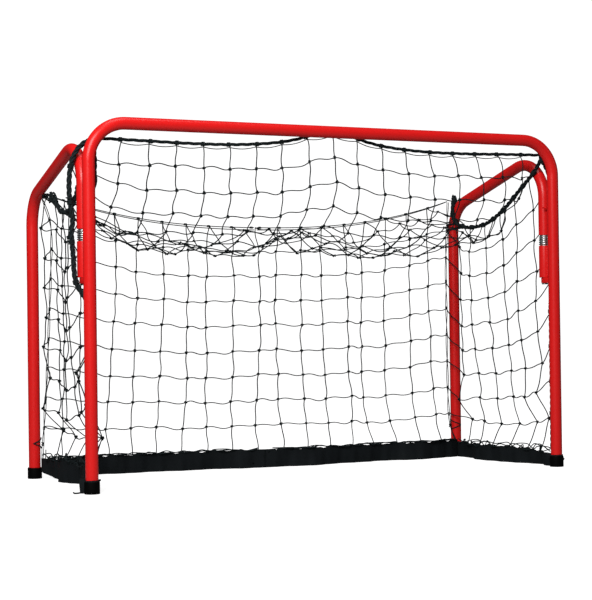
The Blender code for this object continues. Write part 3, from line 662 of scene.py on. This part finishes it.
def tied_knots(knots, wanted):
    """A knot at each wanted crossing, turned with the net and a little at random."""
    draw = np.random.default_rng(13)
    found = []
    for i, j in np.argwhere(wanted):
        up = knots[i, min(j + 1, knots.shape[1] - 1)] - knots[i, j - 1]
        up = up / np.linalg.norm(up)
        over = np.array((1.0, 0, 0)) if abs(up[0]) < 0.8 else np.array((0, 1.0, 0))
        over = over + draw.normal(0, 0.35, 3)
        over = over - up * (over @ up)
        found.append(knot(knots[i, j], up, over / np.linalg.norm(over)))
    return found


columns = np.arange(COLUMNS + 1) / COLUMNS

# Roof: it drops from the crossbar like a curtain, folds, then runs back nearly level
roof = np.zeros((COLUMNS + 1, ROOF_ROWS + 1, 3))
front_line = np.array([(x, BAND_Y, band_height(x) - 0.002) for x in (2 * columns - 1) * BAND_X])
rear_line = np.array([(x, REAR_Y, rear_height(x)) for x in (2 * columns - 1) * CORD_X])
left_seam = spots(seam_route[-1], ROOF_ROWS)
right_seam = spots(seam_route[1], ROOF_ROWS)
fold_line = 0.428 + 0.020 * (2 * columns - 1) ** 2
curtain = ((0, 0), (-0.012, 0.20), (-0.010, 0.44), (0.008, 0.66), (0.032, 0.87), (0.070, 1.0))
fold_row = len(curtain) - 1
for j in range(ROOF_ROWS + 1):
    row = front_line.copy()
    if j <= fold_row:
        row[:, 1] += curtain[j][0]
        row[:, 2] += curtain[j][1] * (fold_line - row[:, 2])
    else:
        share = (j - fold_row) / (ROOF_ROWS - fold_row)
        row[:, 1] += curtain[fold_row][0]
        row[:, 2] = fold_line
        row = row * (1 - share) + rear_line * share
        row[:, 2] -= 0.012 * sin(pi * share)
    edge = left_seam[j] * (1 - columns)[:, None] + right_seam[j] * columns[:, None]
    slack = (1 - np.abs(2 * columns - 1) ** 7)[:, None]
    row[:, 1:] = row[:, 1:] * slack + edge[:, 1:] * (1 - slack)
    roof[:, j] = row
roof[0] = left_seam
roof[-1] = right_seam
roof[:, 0] = front_line
roof[:, -1] = rear_line
across = np.maximum(bar_lengths(roof, 0) * 1.03, 0.0500)
across[:, fold_row + 1:] *= 1.05
along = np.maximum(bar_lengths(roof, 1) * 1.01, 0.0420)
roof_panel = hang(roof, across, along, 3, 26)

# Back: it hangs from the rear cord down to the skirt, drawn forward by the hem. Its foot
# is tied a little closer together at the left.
tied = columns - 0.030 * np.sin(pi * columns) * (1 - columns)
foot = spots(back_hem, 400)[np.round(400 * tied).astype(int)]
foot[:, 2] = FOOT_TOP
back = np.zeros((COLUMNS + 1, BACK_ROWS + 1, 3))
for j in range(BACK_ROWS + 1):
    back[:, j] = foot + (rear_line - foot) * j / BACK_ROWS
leg_marks = {}
for end, sx in ((0, -1), (-1, 1)):
    back[end] = spots(leg_route[sx], BACK_ROWS, 0.01, 0.97)[::-1]
    leg_marks[sx] = back[end].copy()
back_panel = hang(back, bar_lengths(back, 0) * 1.035, bar_lengths(back, 1) * 0.985, 5, 200)

# Sides: from the cord at the post to the cord at the leg, under the sagging seams
side_panel = {}
for side, sx in SIDES:
    foot = spots(side_hem[sx], SIDE_COLUMNS)
    foot[:, 2] = FOOT_TOP if sx < 0 else 0.0290
    top = spots(seam_route[sx], SIDE_COLUMNS)
    net = np.zeros((SIDE_COLUMNS + 1, BACK_ROWS + 1, 3))
    for j in range(BACK_ROWS + 1):
        net[:, j] = foot + (top - foot) * j / BACK_ROWS
    net[0] = spots(edge_route[sx], BACK_ROWS)[::-1]
    net[-1] = leg_marks[sx]
    slack = 1.05 if sx > 0 else 1.065
    across = bar_lengths(net, 0) * slack
    across[:2] *= 0.95
    side_panel[sx] = hang(net, across, bar_lengths(net, 1) * (slack - 0.03), 7 + sx, 200)


def drape(piece, sx, kind):
    """Bakes a soft piece's place into its mesh."""
    rear_corner = Vector((sx * CORD_X, REAR_Y, 0.5))
    rear_middle = Vector((0, REAR_Y, 0.5))
    front_corner = Vector((sx * BAND_X, BAND_Y, 0.5))
    if kind == "roof":
        still = (front_corner - rear_middle).normalized()
        start = rear_middle + still * (rear_corner - rear_middle).dot(still)
    else:
        start = front_corner if kind == "side" else rear_middle
    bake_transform(piece)


def on_side(x, sx):
    """Which of the places lie on one side of the goal; those on its middle go left."""
    return x > 0.001 if sx > 0 else x <= 0.001


for side, sx in SIDES:
    for kind, (knots, chains), node in (("roof", roof_panel, "roof_net"), ("back", back_panel, "back_net"),
                                        ("side", side_panel[sx], f"{side}_side_net")):
        near = [(way, chain[on_side(chain[:, :, 0].mean(1), sx)]) for way, chain in chains]
        mesh = bars(f"{side}_{kind}_twines", twines(near), TWINE_R)
        drape(shown(f"{side}_{kind}_twines", mesh, twine, [node]), sx, kind)
        wanted = inner_knots(knots) & on_side(knots[:, :, 0], sx)
        mesh = bars(f"{side}_{kind}_knots", tied_knots(knots, wanted), TWINE_R * 1.1, 0, closed=True)
        drape(shown(f"{side}_{kind}_knots", mesh, twine), sx, kind)


# Bound edges
# Each edge of the net is laced to a cord of the same black twine and tied at every mesh:
# thick laid ropes at the front and along the seams, thin lines at the back.
BAND_STRAND = 0.0015
FRONT_STRAND = 0.0023
SEAM_STRAND = 0.0020
LEG_STRAND = 0.0008
REAR_STRAND = 0.0009
LACING_R = 0.0009
LEG_LACING_R = 0.0006
STRAND_GAP = 0.0001
TIE_GAP = 0.0004


def cordage(name, paths, radius, resolution=1, replaced=()):
    """Cords or lashings as one piece of the scene."""
    return shown(name, bars(name, paths, radius, resolution), twine, replaced)


def winding(route, radius, turns, points=8, start=0.0):
    """A twine wound round a route, as one line."""
    count = round(turns * points) + 1
    line = spots(np.array(route), count - 1)
    tangent = np.gradient(line, axis=0)
    tangent /= np.linalg.norm(tangent, axis=1)[:, None]
    aside = np.cross(tangent[0], (0.31, 0.52, 0.80))
    coil = []
    for k in range(count):
        aside = aside - tangent[k] * (aside @ tangent[k])
        aside /= np.linalg.norm(aside)
        other = np.cross(tangent[k], aside)
        turn = start + 2 * pi * k / points
        coil.append(line[k] + radius * (cos(turn) * aside + sin(turn) * other))
    return coil


def ties_along(route, marks, radius):
    """Short tight bindings where the net's twines meet a cord."""
    found = []
    for mark in marks:
        near = np.argsort(((route - mark) ** 2).sum(1))[0]
        near = min(max(near, 1), len(route) - 2)
        way = route[near + 1] - route[near - 1]
        way = way / np.linalg.norm(way)
        centre = route[near]
        found.append(winding([centre - way * 0.0032, centre, centre + way * 0.0032], radius, 3.5))
    return found


def rope(route, strand, pitch=0.034):
    """Three thick strands laid round each other, as three lines."""
    length = run_along(route)[-1]
    return [winding(route, strand + STRAND_GAP, length / pitch, 14, 2 * pi * k / 3) for k in range(3)]


def tangle(centre, spread, count, limit, seed):
    """A bit of net crumpled into a lump, as one line through scattered places."""
    scatter = np.clip(np.random.default_rng(seed).normal(0, 1, (count, 3)), -limit, limit)
    return smooth_route(np.array(centre) + scatter * spread, 0.003)


# Crossbar: a rope tied at every mesh, with a slack twine just below it
front_marks = front_line[1:-1]
cords = rope(band_route, BAND_STRAND, 0.060)
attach(cordage("crossbar_band", cords, BAND_STRAND, 3, ["crossbar_band"]), "mouth")
wraps = ties_along(band_route, front_marks, 2 * BAND_STRAND + TIE_GAP)
for a, b in zip(front_marks, front_marks[1:]):
    wraps.append([a + (b - a) * s - (0, -0.0010, 0.0030 + 0.0030 * sin(pi * s))
                  for s in np.linspace(0, 1, 9)])
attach(cordage("crossbar_lacing", wraps, LACING_R), "mouth")

for side, sx in SIDES:
    # Down the post: a thick rope of gathered net, which passes outside the hinge
    cords = rope(edge_route[sx], FRONT_STRAND)
    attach(cordage(f"{side}_front_rope", cords, FRONT_STRAND, 3, [f"{side}_front_cord"]), "mouth")
    post_knots = side_panel[sx][0][0, 1:]
    wraps = ties_along(edge_route[sx], post_knots, 2 * FRONT_STRAND + TIE_GAP)
    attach(cordage(f"{side}_front_lacing", wraps, LACING_R), "mouth")

    # Back under the roof's edge: the same rope, a little thinner
    seam = seam_route[sx]
    cords = rope(seam[seam[:, 1] < 0.0700] if sx < 0 else seam, SEAM_STRAND)
    drape(cordage(f"{side}_seam", cords, SEAM_STRAND, 3, [f"{side}_seam_cord"]), sx, "side")
    wraps = ties_along(seam, spots(seam, ROOF_ROWS)[1:-1], 2 * SEAM_STRAND + TIE_GAP)
    drape(cordage(f"{side}_seam_lacing", wraps, LACING_R), sx, "side")

    # Down the rear leg: two thin cords with a very slow twist
    cords = [winding(leg_route[sx], 2 * LEG_STRAND, 3.5, 24, pi * k) for k in (0, 1)]
    drape(cordage(f"{side}_leg_cord", cords, LEG_STRAND, 2, [f"{side}_rear_cord"]), sx, "side")
    wraps = ties_along(leg_route[sx], leg_marks[sx][1:-1], 2 * LEG_STRAND + TIE_GAP)
    drape(cordage(f"{side}_leg_lacing", wraps, LEG_LACING_R), sx, "side")

    # Across the back: two thin cords that sag by different amounts
    upper = rear_route[rear_route[:, 0] * sx >= -0.0001]
    lower = upper.copy()
    lower[:, 2] -= 0.0045 * (1 - np.abs(lower[:, 0]) / CORD_X) ** 0.5
    drape(cordage(f"{side}_rear_line", [upper, lower], REAR_STRAND, 2, ["rear_top_cord"]), sx, "back")
    marks = rear_line[1:-1]
    wraps = ties_along(upper, marks[marks[:, 0] * sx >= 0], REAR_STRAND + 0.0005)
    drape(cordage(f"{side}_rear_lacing", wraps, LACING_R), sx, "back")

# Left: the net's own edge is gathered into a short thick end behind the top of the post
gathered = smooth_route([(-0.4490, -0.1545, 0.5830), (-0.4462, -0.1548, 0.5650), (-0.4450, -0.1550, 0.5450),
                         (-0.4460, -0.1548, 0.5240)])
hook_end = smooth_route([(-0.4440, -0.1545, 0.5270), (-0.4425, -0.1545, 0.5170), (-0.4450, -0.1540, 0.5050),
                         (-0.4500, -0.1545, 0.4980)])
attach(cordage("left_edge_end", rope(gathered, SEAM_STRAND) + [hook_end], SEAM_STRAND, 3), "mouth")

# Right: only a thick knot of it shows behind the bend
lump = tangle((0.4470, -0.1535, 0.5760), (0.0030, 0.0025, 0.0050), 22, 1.4, 31)
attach(cordage("right_edge_knot", [lump], 0.0018, 2), "mouth")


# Ties
# Loops of the same twine hold the rear cords to the legs, and the ends of the seams are
# clumps of net that are tied at the rear bends.
TIE_R = 0.0010

for side, sx in SIDES:
    # Low on the leg: a loop that lies round the front of the tube, drawn to a point
    path = []
    for k in range(25):
        turn = radians(-118) * (1 - abs(k / 12 - 1))
        reach = TUBE_R + 0.0012 if 0 < k < 24 else 0.0125
        path.append((sx * (LEG_X - reach * cos(turn)), REAR_Y + reach * sin(turn), 0.0735 - 0.0190 * k / 24))
    lump = knot(np.array((sx * (CORD_X - 0.0010), REAR_Y - 0.002, 0.0625)), np.array((0, 0, 1.0)),
                np.array((0, 1.0, 0)), 0.0012)
    tie = cordage(f"{side}_leg_lashing_low", [path, [*lump, lump[0]]], TIE_R, 2, [f"{side}_leg_tie_low"])
    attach(tie, f"{side}_wing")

# Left: the seam ends in a clump of net, hung from the sloping bar by two thin loops
loops = []
for drop, x in ((0.0, -0.4435), (0.0030, -0.4410)):
    loops.append(smooth_route([(-0.4420, 0.0760, 0.5050 - drop), (x, 0.0920, 0.5110 - drop),
                               (x - 0.0040, 0.1080, 0.5095), (x - 0.0030, 0.1120, 0.5075),
                               (x, 0.1040, 0.5045 - drop), (x, 0.0900, 0.5030 - drop),
                               (-0.4420, 0.0760, 0.5010 - drop)], 0.003))
drape(cordage("left_bar_loops", loops, 0.0013, 2, ["left_leg_tie_high"]), -1, "side")

# Right: the clump sits behind the bend, and its rope is wound round the top of the leg
leg_end = np.array([(LEG_X, REAR_Y - 0.0004, 0.4755), (LEG_X, REAR_Y, 0.4600)])
turns = winding(spots(leg_end, 8), TUBE_R + 0.0023, 1.6, 24, 0.7)
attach(cordage("right_leg_wrap", [turns], 0.0021, 3, ["right_leg_tie_high"]), "right_wing")

for side, sx, centre, spread in (("left", -1, (-0.4420, 0.0700, 0.5030), (0.0035, 0.0070, 0.0060)),
                                 ("right", 1, (0.4415, 0.1500, 0.5200), (0.0030, 0.0035, 0.0075))):
    clump = cordage(f"{side}_clump", [tangle(centre, spread, 26, 1.5, 23)], 0.0019, 2)
    drape(clump, sx, "side")


# Hooks
# Small bent wires welded behind the posts and the crossbar, red like them. Each curls
# round the cord at the net's edge.
LOW_CORD = {-1: (0.4580, -0.1517), 1: (0.4648, -0.1499)}
HIGH_CORD = (0.4500, -0.1575)
CROSSBAR_HOOK_X = 0.0277
HOOK_WIRE = 0.0015


def hook_turns(cord, tube, curl):
    """The (u, v) places of a wire that starts on a tube and curls round a cord beside it."""
    to_tube = Vector(tube) - Vector(cord)
    touch = TUBE_R + 0.0019
    start = acos((to_tube.length ** 2 + curl ** 2 - touch ** 2) / (2 * to_tube.length * curl))
    start += atan2(to_tube.y, to_tube.x)
    turns = [start + radians(170) * k / 30 for k in range(31)]
    return [(cord[0] + curl * cos(t), cord[1] + curl * sin(t)) for t in turns]


for side, sx in SIDES:
    routes = {}
    for level, cord, z, curl in (("low", LOW_CORD[sx], 0.0660, 0.0064),
                                 ("middle", LOW_CORD[sx], 0.3062, 0.0064),
                                 ("high", HIGH_CORD, 0.4865, 0.0040)):
        turns = hook_turns(cord, (POST_X, FRONT_Y), curl)
        routes[f"{side}_net_hook_{level}"] = [(sx * u, v, z) for u, v in turns]
    turns = hook_turns((BAND_Y, band_height(CROSSBAR_HOOK_X)), (FRONT_Y, CROSSBAR_Z), 0.0052)
    routes[f"{side}_crossbar_hook"] = [(sx * CROSSBAR_HOOK_X, u, v) for u, v in turns]
    for node, path in routes.items():
        wire = soften(bars(f"{node}_wire", [path], HOOK_WIRE, 6), 0.0004)
        red_piece(f"{node}_wire", wire, "mouth", [node])

# Left: a loop of twine ties the rope outside the hinge to the highest hook, round the
# back of the stub
loop = [(-0.4480, -0.1535, 0.4870), (-0.4465, -0.1420, 0.4880), (-0.4490, -0.1300, 0.4890),
        (-0.4600, -0.1250, 0.4890), (-0.4730, -0.1290, 0.4885), (-0.4800, -0.1315, 0.4880),
        (-0.4880, -0.1340, 0.4875), (-0.4890, -0.1400, 0.4865), (-0.4835, -0.1440, 0.4860),
        (-0.4790, -0.1400, 0.4850), (-0.4770, -0.1310, 0.4845), (-0.4700, -0.1265, 0.4840),
        (-0.4600, -0.1235, 0.4835), (-0.4480, -0.1290, 0.4835), (-0.4445, -0.1420, 0.4840),
        (-0.4480, -0.1535, 0.4850)]
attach(cordage("left_hook_loop", [smooth_route(loop, 0.002)], TIE_R, 2), "mouth")


# Skirt
# A strip of plain-woven black cloth sewn along the net's foot, about 35 mm high. It
# drags on the floor in loose waves, and its front corners droop or stick out.
CLOTH = 0.0009
BACK_HEIGHT = 0.0350
SIDE_HEIGHT = {-1: 0.0370, 1: 0.0315}
CORNER_LIFT = {-1: 0.013, 1: 0.0}
FRONT_DROOP = {-1: 0.0, 1: 0.007}
LEVELS = 10

# The weave is about 0.8 mm, a little dusty
cloth, port, place = new_finish("black_skirt_cloth")
port["Specular IOR Level"].default_value = 0.15
threads = {"Vector": place, "Scale": 190.0, "Distortion": 0.6}
warp = place.node("ShaderNodeTexWave", threads, 1, bands_direction="Z")
weft = place.node("ShaderNodeTexWave", threads, 1, bands_direction="DIAGONAL")
weave = warp * 0.5 + weft * 0.5
shade = 0.65 * place.noise(35, 4) + 0.35 * weave
shade.tone((0.0012, 0.0020, 0.0026), (0.0075, 0.0105, 0.0125)).into(port["Base Color"])
(0.72 + 0.20 * place.noise(500, 2)).into(port["Roughness"])
weave.relief(0.00030, 0.7).into(port["Normal"])


def skirt(name, track, height, seed, lift, droop):
    """A waved strip of cloth that stands on its hem along a track on the floor. Its top
    droops at the start and its hem is lifted at the end. Also returns its length."""
    draw = np.random.default_rng(seed)
    track = track[:, :2]
    count = len(track)
    way = np.gradient(track, axis=0)
    way /= np.linalg.norm(way, axis=1)[:, None]
    aside = np.c_[-way[:, 1], way[:, 0]]
    run = run_along(track)
    still = np.minimum(1, np.minimum(run, run[-1] - run) / 0.03)
    phases = draw.uniform(0, 2 * pi, 6)

    def ripple(s, length, number):
        return sin(2 * pi * s / length + phases[number])

    bm = bmesh.new()
    grid = bmesh.ops.create_grid(bm, x_segments=count - 1, y_segments=LEVELS, size=0.5)["verts"]
    for index, vert in enumerate(grid):
        k, level = index % count, index // count / LEVELS
        s = run[k]
        fall = 1 - level
        wave = 0.0036 * ripple(s, 0.113, 0) + 0.0016 * ripple(s, 0.041, 1) + 0.0007 * ripple(s, 0.019, 2)
        lean = 0.0024 * ripple(s, 0.23, 3)
        push = still[k] * (wave * (0.35 + 0.65 * fall) + lean * fall ** 2)
        ragged = 0.0016 * ripple(s, 0.0485, 4) + 0.0009 * ripple(s, 0.017, 5)
        top = height + still[k] * ragged - droop * max(0.0, 1 - s / 0.12)
        hem = CLOTH + lift * max(0.0, 1 - (run[-1] - s) / 0.100) ** 2
        x, y = track[k] + aside[k] * push
        vert.co = (x, y, hem + (top - hem) * level)
    bmesh.ops.solidify(bm, geom=bm.faces[:], thickness=CLOTH)
    return shaded(solid_mesh(name, bm), 60), float(run[-1])


middle = int(np.argmin(np.abs(back_hem[:, 0])))
half_hem = {-1: back_hem[middle::-1], 1: back_hem[middle:]}
for side, sx in SIDES:
    for kind, track, node, height, seed, droop in (
            ("back", half_hem[sx], "back_skirt", BACK_HEIGHT, 17, 0.0),
            ("side", side_hem[sx], f"{side}_side_skirt", SIDE_HEIGHT[sx], 19 + sx, FRONT_DROOP[sx])):
        mesh, length = skirt(f"{side}_{kind}_skirt_cloth", track, height, seed, CORNER_LIFT[sx], droop)
        piece = shown(f"{side}_{kind}_skirt_cloth", mesh, cloth, [node])
        drape(piece, sx, kind)

# The net's last meshes lie slack along the cloth's top edge, in small uneven loops
SLACK_BOTTOM = {-1: 0.0355, 1: 0.0280}
SLACK_HEIGHT = {-1: 0.0170, 1: 0.0110}
LOOP_SPACING = 0.017
for side, sx in SIDES:
    for kind, track, bottom, tall, seed in (
            ("back", half_hem[sx], 0.0340, 0.0040, 41),
            ("side", side_hem[sx], SLACK_BOTTOM[sx], SLACK_HEIGHT[sx], 43)):
        draw = np.random.default_rng(seed + sx)
        loops = []
        for _ in range(3):
            marks = []
            for x, y, z in spots(track, round(len(track) * HEM_SPACING / LOOP_SPACING), 0.04, 0.97):
                lift = draw.uniform(-0.2, 1.0) * tall
                dx, dy = draw.uniform(-0.006, 0.006), draw.uniform(-0.006, 0.006)
                marks.append((x + dx, y + dy, bottom + lift))
            loops.append(smooth_route(marks, 0.002))
        mesh = bars(f"{side}_{kind}_loops", loops, TWINE_R)
        drape(shown(f"{side}_{kind}_loops", mesh, twine), sx, kind)


# Foot straps
# A narrow strap of the same cloth ties each front end of the skirt round the post, just
# above the rubber foot.
STRAP_BOTTOM = 0.0202
STRAP_STEP = 0.0005
STRAP_EYE = (0.4473, -0.15985)


def round_two(first, first_radius, second, second_radius, steps=16):
    """A loop drawn tight round two circles, as (u, v) points."""
    axis = Vector(second) - Vector(first)
    heading = atan2(axis.y, axis.x)
    opening = acos((first_radius - second_radius) / axis.length)
    points = []
    for centre, radius, start, sweep in ((first, first_radius, heading + opening, 2 * pi - 2 * opening),
                                         (second, second_radius, heading - opening, 2 * opening)):
        for k in range(steps):
            turn = start + sweep * (k + 0.5) / steps
            points.append((centre[0] + radius * cos(turn), centre[1] + radius * sin(turn)))
    return points


for side, sx in SIDES:
    inner = round_two((POST_X, FRONT_Y), TUBE_R + 0.0004, STRAP_EYE, 0.0034)
    outer = round_two((POST_X, FRONT_Y), TUBE_R + 0.0016, STRAP_EYE, 0.0046)
    bm = bmesh.new()
    rings = []
    for level, loop in [(n, inner) for n in range(6)] + [(n, outer) for n in reversed(range(6))]:
        z = STRAP_BOTTOM + STRAP_STEP * level
        rings.append([bm.verts.new((sx * u, v, z + 0.0002 * sin(k * 0.9 + level)))
                      for k, (u, v) in enumerate(loop)])
    for ring, following in zip(rings, rings[1:] + rings[:1]):
        for k in range(len(ring)):
            bm.faces.new((ring[k - 1], ring[k], following[k], following[k - 1]))
    mesh = shaded(solid_mesh(f"{side}_foot_strap_cloth", bm), 50)
    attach(shown(f"{side}_foot_strap_cloth", mesh, cloth, [f"{side}_foot_strap"]), "mouth")

# Loose corners of the cloth, flat to the camera: one hangs to the floor by the left
# foot, with a frayed tail, and one sticks out by the right foot
for name, origin, outline in (
        ("left_cloth_corner", (-0.4715, -0.1630, 0), [(0.0010, 0.0260), (0.0010, 0.0012), (-0.0080, 0.0012),
                                                      (-0.0095, 0.0180), (-0.0085, 0.0260)]),
        ("right_cloth_corner", (0.4735, -0.1535, 0), [(0, 0.0260), (0.0060, 0.0215), (0.0125, 0.0135),
                                                      (0.0115, 0.0105), (0.0040, 0.0060), (0, 0.0040)])):
    bm = bmesh.new()
    bm.faces.new([bm.verts.new(Vector(origin) + Vector((0.893 * u, -0.449 * u, v))) for u, v in outline])
    bmesh.ops.triangulate(bm, faces=bm.faces[:])
    bmesh.ops.solidify(bm, geom=bm.faces[:], thickness=CLOTH)
    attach(shown(name, solid_mesh(name, bm), cloth), "mouth")
tail = smooth_route([(-0.4780, -0.1600, 0.0025), (-0.4830, -0.1575, 0.0017), (-0.4870, -0.1555, 0.0018),
                     (-0.4890, -0.1545, 0.0034)], 0.001)
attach(shown("left_cloth_tail", bars("left_cloth_tail", [tail], 0.0013, 2), cloth), "mouth")


# Studio
# A pale floor that runs to white at a distance, a white surround, and soft light from
# the left, from above and a little from the right.
def seen_by_camera(tree):
    """1 where the camera itself looks, 0 for light and reflections."""
    return Value(tree, tree.nodes.new("ShaderNodeLightPath").outputs["Is Camera Ray"])


sheet = bmesh.new()
bmesh.ops.create_grid(sheet, x_segments=1, y_segments=1, size=30)
mesh = bpy.data.meshes.new("floor")
sheet.to_mesh(mesh)
sheet.free()
floor = bpy.data.objects.new("floor", mesh)
scene.collection.objects.link(floor)
paper, port, place = new_finish("studio_floor")
port["Base Color"].default_value = (0.35, 0.35, 0.35, 1)
port["Roughness"].default_value = 0.9
port["Specular IOR Level"].default_value = 0.1
away = place.node("ShaderNodeVectorMath", {0: place, 1: (-0.3, -0.6, 0)}, 1, operation="DISTANCE")
away = away.node("ShaderNodeMath", {0: away, 1: 0.4}, operation="SUBTRACT", use_clamp=True)
(seen_by_camera(place.tree) * (0.84 + 0.20 * away)).into(port["Emission Color"])
port["Emission Strength"].default_value = 1.0
mesh.materials.append(paper)

world = bpy.data.worlds.new("studio")
scene.world = world
world.use_nodes = True
sky = world.node_tree.nodes["Background"]
sky.inputs["Color"].default_value = (1, 1, 1, 1)
(0.04 + 1.06 * seen_by_camera(world.node_tree)).into(sky.inputs["Strength"])

AIM = Vector((0, 0, 0.3))
for name, place, size, power in (("key_light", (-1.7, -1.9, 1.7), 1.2, 80),
                                 ("top_light", (-0.2, -0.6, 2.8), 1.4, 22),
                                 ("side_light", (2.6, -1.8, 1.0), 1.0, 2)):
    lamp = bpy.data.objects.new(name, bpy.data.lights.new(name, "AREA"))
    scene.collection.objects.link(lamp)
    lamp.data.size = size
    lamp.data.energy = power
    lamp.location = place
    lamp.rotation_euler = (AIM - Vector(place)).to_track_quat("-Z", "Y").to_euler()

scene.view_settings.view_transform = "Standard"
